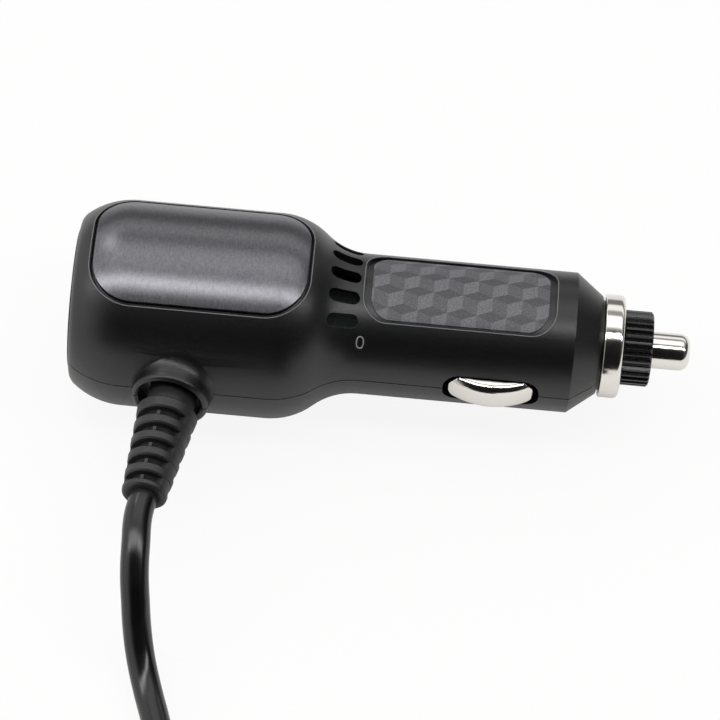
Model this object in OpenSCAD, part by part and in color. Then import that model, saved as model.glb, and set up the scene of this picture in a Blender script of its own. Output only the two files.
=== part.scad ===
// Car charger plug with two USB-A sockets in its head and a captive lead.
// Millimetres. The plug's axis is the X axis, with the tip towards +X.
// The origin is on that axis at the USB face. +Z is the side with the two inlays.
// The housing splits into an upper and a lower half at z = 0.
// The round head rests on a surface at z = -head_d / 2.

/* [Head and neck] */
// Diameter of the round head
head_d = 30.2; // [29:0.1:33]
// Distance from the USB face to the end of the straight head
head_len = 29.3; // [28:0.1:34]
// Length of the curve from the rear edge up to the full head diameter
shoulder_len = 8.2; // [7:0.1:9]
// Radius of that curve
shoulder_r = 11.5; // [10.5:0.1:13]
// Length of the neck between head and barrel
neck_len = 13.1; // [12:0.1:15]
// Radius of the outward curve where the neck leaves the head
neck_bulge_r = 10.6; // [9:0.1:11]
// Thickness of the housing wall
wall = 1.8; // [1.6:0.1:2]

/* [Barrel and nose] */
// Diameter of the barrel that enters the socket
barrel_d = 20.6; // [20:0.1:21]
// Length of the straight barrel
barrel_len = 30.7; // [30:0.1:34]
// Length of the cone in front of the barrel
cone_len = 4.0; // [3:0.1:5]
// Diameter of the cone's front end
cone_front_d = 14.4; // [14:0.1:15]
// Diameter of the short spigot behind the nose ring
spigot_d = 13.2; // [12.6:0.1:13.8]
// Length of that spigot, which shows as a dark gap
spigot_len = 0.3; // [0.2:0.1:0.6]

/* [Inlays] */
// Angle by which inlays and vents are turned away from the lead's side
top_turn = 2.5; // [0:0.5:4]
// Distance from the USB face to the head inlay's recess
head_inlay_x = 2.6; // [1.8:0.1:3]
// How far the head inlay's recess reaches past the straight head
head_inlay_reach = 5.0; // [2:0.1:6]
// Width of the head inlay's recess, seen from above
head_inlay_w = 19.4; // [16:0.1:20]
// Corner radius of the head inlay's recess
head_inlay_corner = 6.2; // [4:0.1:7]
// Distance by which the barrel inlay's recess reaches back past the neck's end
barrel_inlay_back = 0.1; // [0:0.1:0.3]
// Distance from the barrel inlay's recess to the front end of the barrel
barrel_inlay_front = 3.1; // [2:0.05:6]
// Width of the barrel inlay's recess, seen from above
barrel_inlay_w = 12.1; // [9:0.1:12.6]
// Corner radius of the barrel inlay's recess
barrel_inlay_corner = 3.3; // [2:0.1:4]
// Depth of both recesses
recess_depth = 0.5; // [0.5:0.05:0.8]
// Width of the shallow step around both recesses
step_w = 0.18; // [0.1:0.02:0.3]
// Depth of that step
step_depth = 0.15; // [0.1:0.05:0.3]
// Thickness of the head's metal plate
plate_t = 0.45; // [0.3:0.05:0.5]
// Thickness of the barrel's patterned film
film_t = 0.25; // [0.2:0.05:0.5]
// Gap between the head plate and its recess
plate_gap = 0.4; // [0.1:0.05:0.6]
// Gap between the film's long sides and its recess
film_gap = 0.4; // [0.1:0.05:0.8]
// Gap between the film's ends and its recess
film_end_gap = 1.0; // [0.5:0.05:1.2]

/* [Vents] */
// Number of vent slots in each half
vent_count = 5; // [3:2:5]
// Angle between neighbouring vent slots
vent_step = 19; // [16:1:20]
// Length of a vent slot
vent_len = 4.5; // [4:0.1:6]
// Width of a vent slot
vent_w = 2.0; // [1.2:0.1:2.2]
// Distance from the head's end to the middle of the vent slots
vent_from_head = 10.1; // [9:0.1:10.5]

/* [Lead exit] */
// Distance from the USB face to the lead's axis, on the plug's axis
exit_x = 18.1; // [17.5:0.1:19]
// Angle by which the lead leans back towards the USB face
exit_lean = 7.5; // [5:0.5:10]
// Diameter of the boss around the strain relief
boss_d = 11.4; // [11:0.1:12.4]
// How far the boss stands proud of the head
boss_proud = 2.3; // [1.5:0.1:2.6]
// How far the boss is set back from the lead's axis, towards the USB face
boss_shift = 0.3; // [0:0.1:0.4]
// Diameter of the boss's mouth
boss_mouth_d = 9.4; // [9.2:0.1:9.8]
// Depth of the mouth below the boss's rim
mouth_depth = 2.4; // [1.5:0.1:2.6]

/* [Strain relief and lead] */
// Diameter of the strain relief at its first rib
relief_d1 = 8.9; // [8.6:0.1:9.1]
// Diameter of the strain relief at its tip
relief_d2 = 6.5; // [6:0.1:7.4]
// Diameter of the strain relief's neck inside the boss
relief_neck_d = 7.0; // [6.6:0.1:7.4]
// Distance from the boss's rim to the first rib
rib_gap = 1.9; // [1.5:0.1:2.2]
// Width of the first rib
first_rib_w = 1.8; // [1.5:0.1:2.2]
// Distance between neighbouring grooves
groove_pitch = 2.7; // [2.6:0.05:2.75]
// Width of a groove
groove_w = 1.25; // [0.9:0.05:1.4]
// Number of grooves
groove_count = 5; // [3:1:5]
// Width of the last rib
last_rib_w = 1.0; // [0.8:0.1:1.8]
// Depth of a groove
groove_depth = 1.15; // [0.7:0.05:1.2]
// Diameter of the lead
lead_d = 4.1; // [3.9:0.1:4.3]

/* [Side contacts] */
// Length of the slot for a side contact
slot_len = 14.0; // [13.6:0.1:14.8]
// Height of that slot
slot_h = 5.5; // [5.3:0.1:6]
// Corner radius of the slot
slot_corner = 2.3; // [1.5:0.1:2.4]
// Distance from the middle of the contact to the front end of the barrel
contact_from_front = 11.4; // [11:0.1:12]
// Length of the contact's crown
contact_len = 12.4; // [12:0.1:12.8]
// Height of the contact's crown
contact_h = 4.9; // [4.5:0.1:5]
// How far the contact stands proud of the barrel
contact_proud = 1.45; // [1.2:0.05:1.6]
// Radius of the contact's crown, seen from above
crown_r = 11.0; // [10.5:0.1:12]
// Thickness of the contact's sheet metal
contact_t = 0.45; // [0.3:0.05:0.6]

/* [Nose] */
// Diameter of the nose ring
ring_d = 15.14; // [15:0.02:16]
// Length of the nose ring
ring_len = 2.95; // [2.5:0.05:3.5]
// Diameter of the knurled cap
cap_d = 11.0; // [10.8:0.1:11.6]
// Length of the knurled cap
cap_len = 4.3; // [4:0.1:5]
// Number of grooves in the knurl
knurl_count = 32; // [28:1:34]
// Diameter of the cap's threaded skirt
skirt_d = 10.0; // [9.8:0.1:10.2]
// Length of the skirt
skirt_len = 8.2; // [7.5:0.1:8.4]
// Diameter of the centre pin
pin_d = 5.4; // [5:0.1:5.6]
// How far the pin stands out of the cap
pin_out = 5.7; // [5:0.1:6.5]
// Radius of the pin's rounded end
pin_round = 1.45; // [1:0.05:2]

/* [Fuse] */
// Diameter of the fuse
fuse_d = 5.0; // [4.9:0.05:5.3]
// Length of the fuse
fuse_len = 20; // [19:0.5:21]
// Length of each metal end cap of the fuse
fuse_cap_len = 5; // [4:0.5:6]

/* [USB sockets] */
// Width of a socket's metal shell
usb_w = 13.1; // [13:0.1:13.3]
// Height of a socket's metal shell
usb_h = 5.8; // [5.7:0.1:6]
// Depth of a socket
usb_depth = 13.8; // [12:0.1:14]
// Distance from the plug's axis to the middle of each socket
usb_z = 4.3; // [4.2:0.1:4.5]

/* [Coil and connector] */
// Diameter of the coil of lead at the middle of its turns
coil_d = 44; // [42:1:48]
// Length of the connector's grip
grip_len = 18; // [16:1:22]
// Width of the connector's grip
grip_w = 11.2; // [10:0.1:12]
// Height of the connector's grip
grip_h = 6.0; // [5.4:0.1:7]

/* [Hidden] */
$fn = 72;
eps = 0.02;
running_gap = 0.08; // radial clearance of what slides or turns
seat_gap = 0.05;    // clearance of what is only seated

// Places along the plug's axis
head_r = head_d / 2;
barrel_r = barrel_d / 2;
rear_x = 0.25;
neck_end = head_len + neck_len;
barrel_end = neck_end + barrel_len;
cone_end = barrel_end + cone_len;
front_x = cone_end + spigot_len;
ring_x = front_x + seat_gap;
cap_x = ring_x + ring_len;
cap_end = cap_x + cap_len;
pin_end = cap_end + pin_out;
floor_z = -head_r;

// Rear face plate, just larger than the corners of the sockets
face_r = norm([usb_w / 2, usb_z + usb_h / 2]) + 0.47;
face_lip_r = face_r + 0.8;
face_lip_x = 1.1;
face_end = 2.0;
ridge_r = face_lip_r - 0.4;
ridge_len = 0.7;

// USB sockets
usb_front = 0.15;
usb_back = usb_front + usb_depth;
usb_t = 0.35;
tongue_t = 1.84;
tongue_w = 11.1;
tongue_set_back = 1.2;
tongue_base_len = 4.2;
tongue_base_x = usb_back - usb_t - tongue_base_len;
tongue_low = usb_h / 2 - usb_t - 0.72 - tongue_t;

// Curves of the outer profile
neck_angle = 2 * atan((head_r - barrel_r) / neck_len);
neck_hollow_r = neck_len / sin(neck_angle) - neck_bulge_r;
rim_out_r = face_lip_r + 1.49;
shoulder_start = acos(min(1, 1 - (head_r - rim_out_r) / shoulder_r));

// Inner radii and side contacts
inner_head_r = head_r - wall;
inner_barrel_r = barrel_r - wall;
contact_x = barrel_end - contact_from_front;
crown_y = barrel_r + contact_proud;
flange_y = inner_barrel_r - 0.95;
contact_flange_t = 0.5;
contact_flange_len = contact_len + 3.0;
contact_flange_h = 6.8;

// Inside of the housing
sleeve_wall = 1.0;
sleeve_bore = fuse_d / 2 + running_gap;
sleeve_r = sleeve_bore + sleeve_wall;
web_t = 1.4;
rear_web_x = contact_x - contact_flange_len / 2 - 2.1 - web_t;
front_web_x = barrel_end - 3.4;
nose_bore_r = skirt_d / 2 + running_gap;
nose_bore_x = front_web_x + web_t;

// Centre pin and fuse
flange_t = 1.4;
flange_r = 3.8;
cap_shoulder_x = cap_x + 0.35;
flange_x = cap_shoulder_x - 0.15 - flange_t;
nib_len = 0.6;
neck_r = pin_d / 2 - 0.2;
neck_front = cap_end + 0.1;
fuse_front = flange_x - nib_len - seat_gap;
fuse_rear = fuse_front - fuse_len;
pin_travel = 3.5;
sleeve_front = fuse_front - pin_travel;
seat_t = 0.5;
sleeve_rear = rear_web_x - 4.0;
spring_wire = 0.45;
spring_turns = 7;
spring_mean_r = 1.85;

// Circuit board
board_t = 1.2;
board_half = board_t / 2;
board_front = sleeve_rear - seat_t - 1.0;
board_w = 2 * (inner_head_r - 2.9);
board_nose_w = 2 * (inner_barrel_r - 1.1);
solder_len = 2.0;
tail_w = 1.4;
wire_s = board_w / 2 - 3.0;
inductor_d = 7.8;
core_d = 5.4;
inductor_h = 4.6;
rim_t = 0.8;
input_d = 6.3;
input_h = 7.6;
output_d = 5.0;
output_h = 6.6;
part_gap = 1.9;
input_x = usb_back + input_d / 2 + 2.25;
output_x = input_x + (input_d + output_d) / 2 + part_gap;
inductor_x = output_x - 0.6;
chip_x = inductor_x + inductor_d / 2 + 2.5;

// Lead exit
boss_top = head_r + boss_proud;
mouth_lip = 0.35;
rib_start = boss_top + rib_gap;
groove_start = rib_start + first_rib_w;
relief_tip = groove_start + groove_pitch * (groove_count - 1) + groove_w + last_rib_w;
relief_flange_r = 5.4;
relief_flange_t = 1.35;
relief_flange_s = inner_head_r - 0.35;
lead_start = [exit_x - relief_tip * sin(exit_lean), -relief_tip * cos(exit_lean), 0];

// Lead: down to the surface, then along it to the coil
lead_z = floor_z + lead_d / 2;
coil_x = 48;
coil_y = -99;
coil_layers = 4;
coil_across = 3;
coil_h = coil_layers * lead_d;
coil_in_r = coil_d / 2 - coil_across * lead_d / 2;
coil_out_r = coil_d / 2 + coil_across * lead_d / 2;
outer_turn_x = coil_x - (coil_out_r - lead_d / 2);
lead_route = [
    lead_start,
    [13.2, -37.2, -0.2],
    [13.3, -41.0, -1.2],
    [13.5, -44.6, -3.1],
    [14.0, -47.8, -5.8],
    [14.6, -50.8, -8.7],
    [15.5, -54.0, -11.1],
    [16.8, -57.8, -12.6],
    [18.4, -62.4, lead_z],
    [20.2, -68.5, lead_z],
    [21.3, -75.0, lead_z],
    [outer_turn_x, -82.0, lead_z],
    [outer_turn_x, -90.0, lead_z],
];
coil_top = floor_z + coil_h;
grip_z = coil_top + grip_h / 2;
grip_y = coil_y - coil_d / 2;
grip_x = coil_x + 2;
grip_neck_len = 5;
tail_route = [
    [coil_x - 16.8, coil_y - 6.1, coil_top - lead_d / 2],
    [coil_x - 15.2, coil_y - 10.7, coil_top - 0.6],
    [coil_x - 12.8, coil_y - 15.2, coil_top + 1.2],
    [coil_x - 9.4, coil_y - 18.9, coil_top + 2.4],
    [coil_x - 6.0, coil_y - 20.9, grip_z - 0.1],
    [grip_x - grip_neck_len, grip_y, grip_z],
];
tie_t = 0.7;
tie_w = 7;
tie_angle = 40;
plug_shell_len = 6.6;
plug_shell_w = 8.3;
plug_shell_h = 2.5;
plug_shell_t = 0.3;

// Colours
black_plastic = [0.07, 0.07, 0.075];
grey_metal = [0.45, 0.45, 0.47];
grey_film = [0.36, 0.36, 0.38];
nickel = [0.8, 0.79, 0.77];
black_rubber = [0.05, 0.05, 0.05];
board_green = [0.05, 0.35, 0.22];
gold = [0.85, 0.68, 0.3];

// Points of an arc in (distance along the axis, radius)
function arc(centre, r, from, to, steps) =
    [for (i = [0:steps]) let (a = from + (to - from) * i / steps) centre + r * [cos(a), sin(a)]];

// Smooth curve through a list of points
function curve_point(a, b, c, d, t) =
    0.5 * (2 * b + (c - a) * t + (2 * a - 5 * b + 4 * c - d) * t * t + (3 * b - a - 3 * c + d) * t * t * t);
function curve(points, steps) =
    let (last = len(points) - 1)
    [for (i = [0:last - 1], k = [0:steps - (i == last - 1 ? 0 : 1)])
        let (before = i == 0 ? 2 * points[0] - points[1] : points[i - 1])
        let (after = i == last - 1 ? 2 * points[last] - points[last - 1] : points[i + 2])
        curve_point(before, points[i], points[i + 1], after, k / steps)];

function unit(v) = v / norm(v);

// Turns a profile of [distance, radius] points about the plug's axis
module turned(profile) {
    rotate([0, 90, 0]) rotate_extrude() polygon([for (p = profile) [p[1], p[0]]]);
}

// Round bar or tube along the plug's axis
module bar(from, to, r, bore = 0) {
    translate([from, 0, 0]) rotate([0, 90, 0]) difference() {
        cylinder(h = to - from, r = r);
        if (bore > 0) translate([0, 0, -1]) cylinder(h = to - from + 2, r = bore);
    }
}

// Rectangle with round corners, from squares and circles
module round_rect(l, w, r) {
    square([l - 2 * r, w], center = true);
    square([l, w - 2 * r], center = true);
    for (x = [-1, 1], y = [-1, 1]) translate([x * (l / 2 - r), y * (w / 2 - r)]) circle(r);
}

// Tube of 8 sides along a route
module swept(points, r, sides = 8) {
    count = len(points);
    rings = [for (i = [0:count - 1])
        let (along = unit(points[min(i + 1, count - 1)] - points[max(i - 1, 0)]))
        let (side = unit(cross(along, [0, 0, 1])))
        let (rise = cross(side, along))
        for (k = [0:sides - 1])
            points[i] + r * (cos(360 * k / sides) * side + sin(360 * k / sides) * rise)];
    walls = [for (i = [0:count - 2], k = [0:sides - 1])
        let (next = (k + 1) % sides)
        [i * sides + k, i * sides + next, (i + 1) * sides + next, (i + 1) * sides + k]];
    start_face = [for (k = [sides - 1:-1:0]) k];
    end_face = [for (k = [0:sides - 1]) (count - 1) * sides + k];
    polyhedron(points = rings, faces = concat(walls, [start_face, end_face]));
}

// Puts a piece on the lead's exit axis: local +Z runs out of the head
module at_exit() {
    translate([exit_x, 0, 0]) rotate([0, 0, -exit_lean]) rotate([90, 0, 0]) children();
}

module half_space(side) {
    translate([-20, -40, side > 0 ? 0 : -40]) cube([140, 80, 40]);
}

function outer_profile(inset = 0) = concat(
    [[rear_x, 0], [rear_x, rim_out_r - 1.19 - inset], [rear_x + 0.1, rim_out_r - 0.79 - inset],
     [rear_x + 0.35, rim_out_r - 0.39 - inset]],
    arc([shoulder_len, head_r - shoulder_r], shoulder_r - inset, 90 + shoulder_start, 90, 8),
    arc([head_len, head_r - neck_bulge_r], neck_bulge_r - inset, 90, 90 - neck_angle, 8),
    arc([neck_end, barrel_r + neck_hollow_r], neck_hollow_r + inset, 270 - neck_angle, 270, 8),
    [[barrel_end, barrel_r - inset], [cone_end, cone_front_d / 2 - inset],
     [cone_end, spigot_d / 2 - inset], [front_x, spigot_d / 2 - inset], [front_x, 0]]);

function cavity_profile() = [
    [-1, 0], [-1, face_r + seat_gap], [face_lip_x, face_r + seat_gap],
    [face_lip_x, face_lip_r + seat_gap], [face_end + seat_gap, face_lip_r + seat_gap],
    [face_end + seat_gap, ridge_r], [face_end + ridge_len, ridge_r],
    [face_end + ridge_len, face_lip_r + 0.4], [shoulder_len, inner_head_r],
    [head_len, inner_head_r], [neck_end, inner_barrel_r],
    [rear_web_x, inner_barrel_r], [rear_web_x, sleeve_r + seat_gap],
    [rear_web_x + web_t, sleeve_r + seat_gap], [rear_web_x + web_t, inner_barrel_r],
    [front_web_x, inner_barrel_r], [front_web_x, sleeve_r + seat_gap],
    [nose_bore_x, sleeve_r + seat_gap], [nose_bore_x, nose_bore_r],
    [front_x + 1, nose_bore_r], [front_x + 1, 0]];

module boss() {
    flare_r = 3.2;
    edge_r = 0.7;
    at_exit() translate([-boss_shift, 0, 0]) rotate_extrude() polygon(concat(
        [[0, inner_head_r - 1.5]],
        arc([boss_d / 2 + flare_r, head_r + 0.95], flare_r, 243, 180, 8),
        arc([boss_d / 2 - edge_r, boss_top - edge_r], edge_r, 0, 90, 5),
        [[0, boss_top]]));
}

module relief_seat() {
    at_exit() {
        translate([0, 0, 5]) cylinder(h = relief_flange_s - 5, r = relief_flange_r + 0.1);
        translate([0, 0, 5]) cylinder(h = 20, d = relief_neck_d + 2 * seat_gap);
        translate([-boss_shift, 0, boss_top]) {
            translate([0, 0, -mouth_depth]) cylinder(h = mouth_depth + 1, d = boss_mouth_d);
            translate([0, 0, -mouth_lip]) cylinder(h = 1, r1 = boss_mouth_d / 2, r2 = boss_mouth_d / 2 + 1);
        }
    }
}

module vent_cuts() {
    middle = (vent_count - 1) / 2;
    for (i = [0:vent_count - 1])
        rotate([(i - middle) * vent_step - top_turn, 0, 0]) translate([head_len + vent_from_head, 0, 4])
            linear_extrude(16) round_rect(vent_len, vent_w, vent_w / 2 - eps);
}

module contact_slots() {
    for (side = [-1, 1])
        translate([contact_x, side > 0 ? barrel_r + 2 : -inner_barrel_r + 1.5, 0])
            rotate([90, 0, 0]) linear_extrude(wall + 3.5) round_rect(slot_len, slot_h, slot_corner);
}

// Everything between a skin at some depth below the surface and the outside
module skin(depth) {
    difference() {
        bar(-1, front_x + 1, head_r + 3);
        turned(outer_profile(depth));
    }
}

// Block that stands on an outline drawn from above
module upright() {
    rotate([-top_turn, 0, 0]) linear_extrude(head_d) children();
}

module head_outline(inset) {
    length = head_len + head_inlay_reach - head_inlay_x;
    translate([head_inlay_x + length / 2, 0])
        round_rect(length - 2 * inset, head_inlay_w - 2 * inset, head_inlay_corner - inset);
}

module barrel_outline(inset, end_inset) {
    length = barrel_inlay_back + barrel_len - barrel_inlay_front;
    translate([neck_end - barrel_inlay_back + length / 2, 0])
        round_rect(length - 2 * end_inset, barrel_inlay_w - 2 * inset, barrel_inlay_corner - inset);
}

module seam_groove() {
    intersection() {
        translate([-1, -30, -0.08]) cube([front_x, 60, 0.16]);
        skin(0.3);
        turned([[rear_x + 0.3, 0], [rear_x + 0.3, 20], [cone_end - 0.3, 20], [cone_end - 0.3, 0]]);
    }
}

module board_rails(side) {
    intersection() {
        bar(exit_x + 6, exit_x + 10, inner_head_r + 0.5);
        for (y = [-1, 1])
            translate([exit_x + 6, y * (board_w / 2 + 1.2) - 2, side > 0 ? board_half + seat_gap : -3])
                cube([4, 4, 3 - board_half - seat_gap]);
    }
}

module shell(side) {
    difference() {
        intersection() {
            union() {
                difference() {
                    union() {
                        turned(outer_profile());
                        boss();
                    }
                    turned(cavity_profile());
                }
                board_rails(side);
            }
            half_space(side);
        }
        relief_seat();
        mirror([0, 0, side > 0 ? 0 : 1]) vent_cuts();
        contact_slots();
        seam_groove();
    }
}

module recesses(depth, inset) {
    intersection() {
        skin(depth);
        upright() {
            head_outline(inset);
            barrel_outline(inset, inset);
        }
    }
}

module upper_shell() {
    color(black_plastic) difference() {
        shell(1);
        recesses(recess_depth, 0);
        recesses(step_depth, -step_w);
        // notches in the web for the ground springs' tails
        for (y = [-1, 1])
            translate([rear_web_x - 1, y * (sleeve_r + 0.5) - 0.6, -1])
                cube([web_t + 2, 1.2, 1 + board_half + tail_w + 0.6]);
    }
}

module lower_shell() {
    color(black_plastic) shell(-1);
}

module usb_face_plate() {
    color(black_plastic) difference() {
        turned([[0, 0], [0, face_r], [face_lip_x, face_r], [face_lip_x, face_lip_r],
                [face_end, face_lip_r], [face_end, 0]]);
        for (side = [-1, 1])
            translate([face_end / 2, 0, side * usb_z])
                cube([face_end + 2, usb_w + 2 * seat_gap, usb_h + 2 * seat_gap], center = true);
    }
}

module head_inlay() {
    color(grey_metal) intersection() {
        turned(outer_profile(recess_depth - plate_t));
        skin(recess_depth);
        upright() head_outline(plate_gap);
    }
}

module barrel_inlay() {
    color(grey_film) intersection() {
        turned(outer_profile(recess_depth - film_t));
        skin(recess_depth);
        upright() barrel_outline(film_gap, film_end_gap);
    }
}

module nose_ring() {
    rear_round = 0.25;
    front_round = 0.75;
    bore = skirt_d / 2 + running_gap;
    color(nickel) turned(concat(
        [[ring_x, bore]],
        arc([ring_x + rear_round, ring_d / 2 - rear_round], rear_round, 180, 90, 4),
        arc([cap_x - front_round, ring_d / 2 - front_round], front_round, 90, 0, 8),
        [[cap_x, bore]]));
}

module fuse_cap() {
    groove = 0.6;
    chamfer = 0.3;
    color(black_plastic) difference() {
        union() {
            bar(cap_x - skirt_len, cap_x + 1, skirt_d / 2);
            intersection() {
                translate([cap_x + seat_gap, 0, 0]) rotate([0, 90, 0]) linear_extrude(cap_len) difference() {
                    circle(d = cap_d);
                    for (i = [0:knurl_count - 1])
                        rotate(360 * i / knurl_count) translate([cap_d / 2 + 0.02, 0]) rotate(45)
                            square(groove, center = true);
                }
                turned([[cap_x, 0], [cap_x, cap_d / 2 - chamfer], [cap_x + chamfer, cap_d / 2 + eps],
                        [cap_end - chamfer, cap_d / 2 + eps], [cap_end, cap_d / 2 - chamfer], [cap_end, 0]]);
            }
        }
        bar(cap_x - skirt_len - 1, cap_shoulder_x, flange_r + 0.2);
        bar(cap_x - 1, cap_end + 1, pin_d / 2 + running_gap);
    }
}

module centre_pin() {
    color(nickel) turned(concat(
        [[flange_x - nib_len, 0], [flange_x - nib_len, 2.0], [flange_x, 2.0], [flange_x, flange_r],
         [flange_x + flange_t, flange_r], [flange_x + flange_t, neck_r],
         [neck_front, neck_r], [neck_front, pin_d / 2]],
        arc([pin_end - pin_round, pin_d / 2 - pin_round], pin_round, 90, 0, 8),
        [[pin_end, 0]]));
}

module fuse_glass() {
    color([0.8, 0.9, 0.9, 0.4])
        bar(fuse_rear + 0.3, fuse_front - 0.3, fuse_d / 2 - 0.17, fuse_d / 2 - 0.6);
}

module fuse_end_caps() {
    color(nickel) for (end = [0, 1]) {
        from = end == 0 ? fuse_rear : fuse_front - fuse_cap_len;
        difference() {
            bar(from, from + fuse_cap_len, fuse_d / 2);
            bar(from + (end == 0 ? 0.3 : -1), from + fuse_cap_len + (end == 0 ? 1 : -0.3), fuse_d / 2 - 0.15);
        }
    }
}

module fuse_element() {
    color(nickel) bar(fuse_rear + 0.3, fuse_front - 0.3, 0.15);
}

module fuse_sleeve() {
    color([0.75, 0.74, 0.7]) bar(sleeve_rear, sleeve_front, sleeve_r, sleeve_bore);
}

module fuse_spring() {
    steps = 12;
    length = fuse_rear - sleeve_rear - spring_wire;
    helix = [for (i = [0:spring_turns * steps])
        let (a = 360 * i / steps)
        [sleeve_rear + spring_wire / 2 + length * i / (spring_turns * steps),
         spring_mean_r * cos(a), spring_mean_r * sin(a)]];
    color(nickel) helical(helix, spring_wire / 2);
}

// Round wire of 6 sides along a helix about the plug's axis
module helical(points, r) {
    sides = 6;
    count = len(points);
    rings = [for (i = [0:count - 1])
        let (out = unit([0, points[i][1], points[i][2]]))
        for (k = [0:sides - 1])
            points[i] + r * (cos(360 * k / sides) * out + sin(360 * k / sides) * [1, 0, 0])];
    walls = [for (i = [0:count - 2], k = [0:sides - 1])
        let (next = (k + 1) % sides)
        [i * sides + k, (i + 1) * sides + k, (i + 1) * sides + next, i * sides + next]];
    start_face = [for (k = [0:sides - 1]) k];
    end_face = [for (k = [sides - 1:-1:0]) (count - 1) * sides + k];
    polyhedron(points = rings, faces = concat(walls, [start_face, end_face]));
}

module live_contact() {
    color(gold) {
        bar(sleeve_rear - seat_t, sleeve_rear, sleeve_r - 0.2);
        translate([board_front - solder_len, -1.2, board_half])
            cube([sleeve_rear - seat_t - board_front + solder_len + 0.1, 2.4, 0.5]);
    }
}

// Crown of a side contact, seen at the -Y side
module crown(r, l, h, corner, soften) {
    intersection() {
        translate([contact_x, -(crown_y - crown_r), 0]) rotate_extrude() polygon(concat(
            [[0, -h / 2]],
            arc([r - soften, -h / 2 + soften], soften, -90, 0, 4),
            arc([r - soften, h / 2 - soften], soften, 0, 90, 4),
            [[0, h / 2]]));
        translate([contact_x, -flange_y + 0.1, 0]) rotate([90, 0, 0])
            linear_extrude(8) round_rect(l, h, corner);
    }
}

module side_contact(side) {
    edge_r = 1.3;
    color(nickel) mirror([0, side > 0 ? 1 : 0, 0]) difference() {
        union() {
            crown(crown_r, contact_len, contact_h, contact_h / 2 - 0.15, edge_r);
            translate([contact_x - contact_flange_len / 2, -flange_y, -contact_flange_h / 2])
                cube([contact_flange_len, contact_flange_t, contact_flange_h]);
        }
        crown(crown_r - contact_t, contact_len - 2 * contact_t, contact_h - 2 * contact_t,
              contact_h / 2 - contact_t - 0.15, edge_r - contact_t);
        translate([contact_x - 4, -flange_y - 0.5, -1.2]) cube([8, 2, 2.4]);
    }
}

module near_side_contact() side_contact(-1);
module far_side_contact() side_contact(1);

// Bow of spring strip that pushes a side contact out, with a tail soldered to the board
module ground_spring(side) {
    strip = 0.25;
    bow_w = 3.0;
    bow_half = (front_web_x - rear_web_x - web_t) / 2 - 0.6;
    bow_x = (front_web_x + rear_web_x + web_t) / 2;
    bow_top = flange_y - contact_flange_t - 0.02;
    bow_foot = sleeve_r + 0.55;
    rise = bow_top - bow_foot;
    bow_r = (bow_half * bow_half + rise * rise) / (2 * rise);
    color(gold) mirror([0, side > 0 ? 1 : 0, 0]) {
        intersection() {
            translate([bow_x, -(bow_top - bow_r), -bow_w / 2]) difference() {
                cylinder(h = bow_w, r = bow_r);
                translate([0, 0, -1]) cylinder(h = bow_w + 2, r = bow_r - strip);
            }
            translate([bow_x - bow_half, -bow_top - 1, -bow_w]) cube([2 * bow_half, rise + 1, 2 * bow_w]);
        }
        translate([board_front - solder_len, -bow_foot - strip / 2, board_half])
            cube([bow_x - bow_half - board_front + solder_len + 0.3, strip, tail_w]);
    }
}

module near_ground_spring() ground_spring(-1);
module far_ground_spring() ground_spring(1);

module circuit_board() {
    rear = face_end + 0.3;
    color(board_green) translate([0, 0, -board_half]) linear_extrude(board_t) polygon([
        [rear, -face_r + 0.2], [shoulder_len, -board_w / 2], [head_len - 1, -board_w / 2],
        [neck_end - 1, -board_nose_w / 2], [board_front, -board_nose_w / 2],
        [board_front, board_nose_w / 2], [neck_end - 1, board_nose_w / 2],
        [head_len - 1, board_w / 2], [shoulder_len, board_w / 2], [rear, face_r - 0.2]]);
}

// Places a socket piece: local +Z points away from the board
module at_socket(side) {
    translate([0, 0, side * usb_z]) mirror([0, 0, side < 0 ? 1 : 0]) children();
}

module usb_shell(side) {
    foot_h = usb_z - usb_h / 2 - board_half;
    color(nickel) at_socket(side) {
        difference() {
            translate([usb_front, -usb_w / 2, -usb_h / 2]) cube([usb_depth, usb_w, usb_h]);
            translate([usb_front - 1, -usb_w / 2 + usb_t, -usb_h / 2 + usb_t])
                cube([usb_depth + 1 - usb_t, usb_w - 2 * usb_t, usb_h - 2 * usb_t]);
        }
        for (y = [-1, 1], x = [5, usb_back - 2.5])
            translate([x, y * (usb_w / 2 - 0.6) - 0.6, -usb_h / 2 - foot_h]) cube([1.8, 1.2, foot_h + eps]);
    }
}

module usb_tongue(side) {
    inner_w = usb_w - 2 * usb_t;
    inner_h = usb_h - 2 * usb_t;
    color([0.92, 0.92, 0.9]) at_socket(side) {
        translate([tongue_base_x, -inner_w / 2, -inner_h / 2]) cube([tongue_base_len, inner_w, inner_h]);
        translate([usb_front + tongue_set_back, -tongue_w / 2, tongue_low])
            cube([tongue_base_x - usb_front - tongue_set_back + eps, tongue_w, tongue_t]);
    }
}

module usb_contacts(side) {
    strip_t = 0.2;
    strip_x = usb_front + tongue_set_back + 0.7;
    color(gold) at_socket(side) for (y = [-3.5, -1, 1, 3.5])
        translate([strip_x, y - 0.5, tongue_low - strip_t]) cube([tongue_base_x - strip_x, 1, strip_t]);
}

module upper_usb_shell() usb_shell(1);
module lower_usb_shell() usb_shell(-1);
module upper_usb_tongue() usb_tongue(1);
module lower_usb_tongue() usb_tongue(-1);
module upper_usb_contacts() usb_contacts(1);
module lower_usb_contacts() usb_contacts(-1);

module power_inductor() {
    color([0.16, 0.16, 0.17]) translate([inductor_x, 5.2 - board_w / 2, board_half]) {
        cylinder(h = rim_t, d = inductor_d);
        cylinder(h = inductor_h, d = core_d);
        translate([0, 0, inductor_h - rim_t]) cylinder(h = rim_t, d = inductor_d);
    }
}

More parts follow.
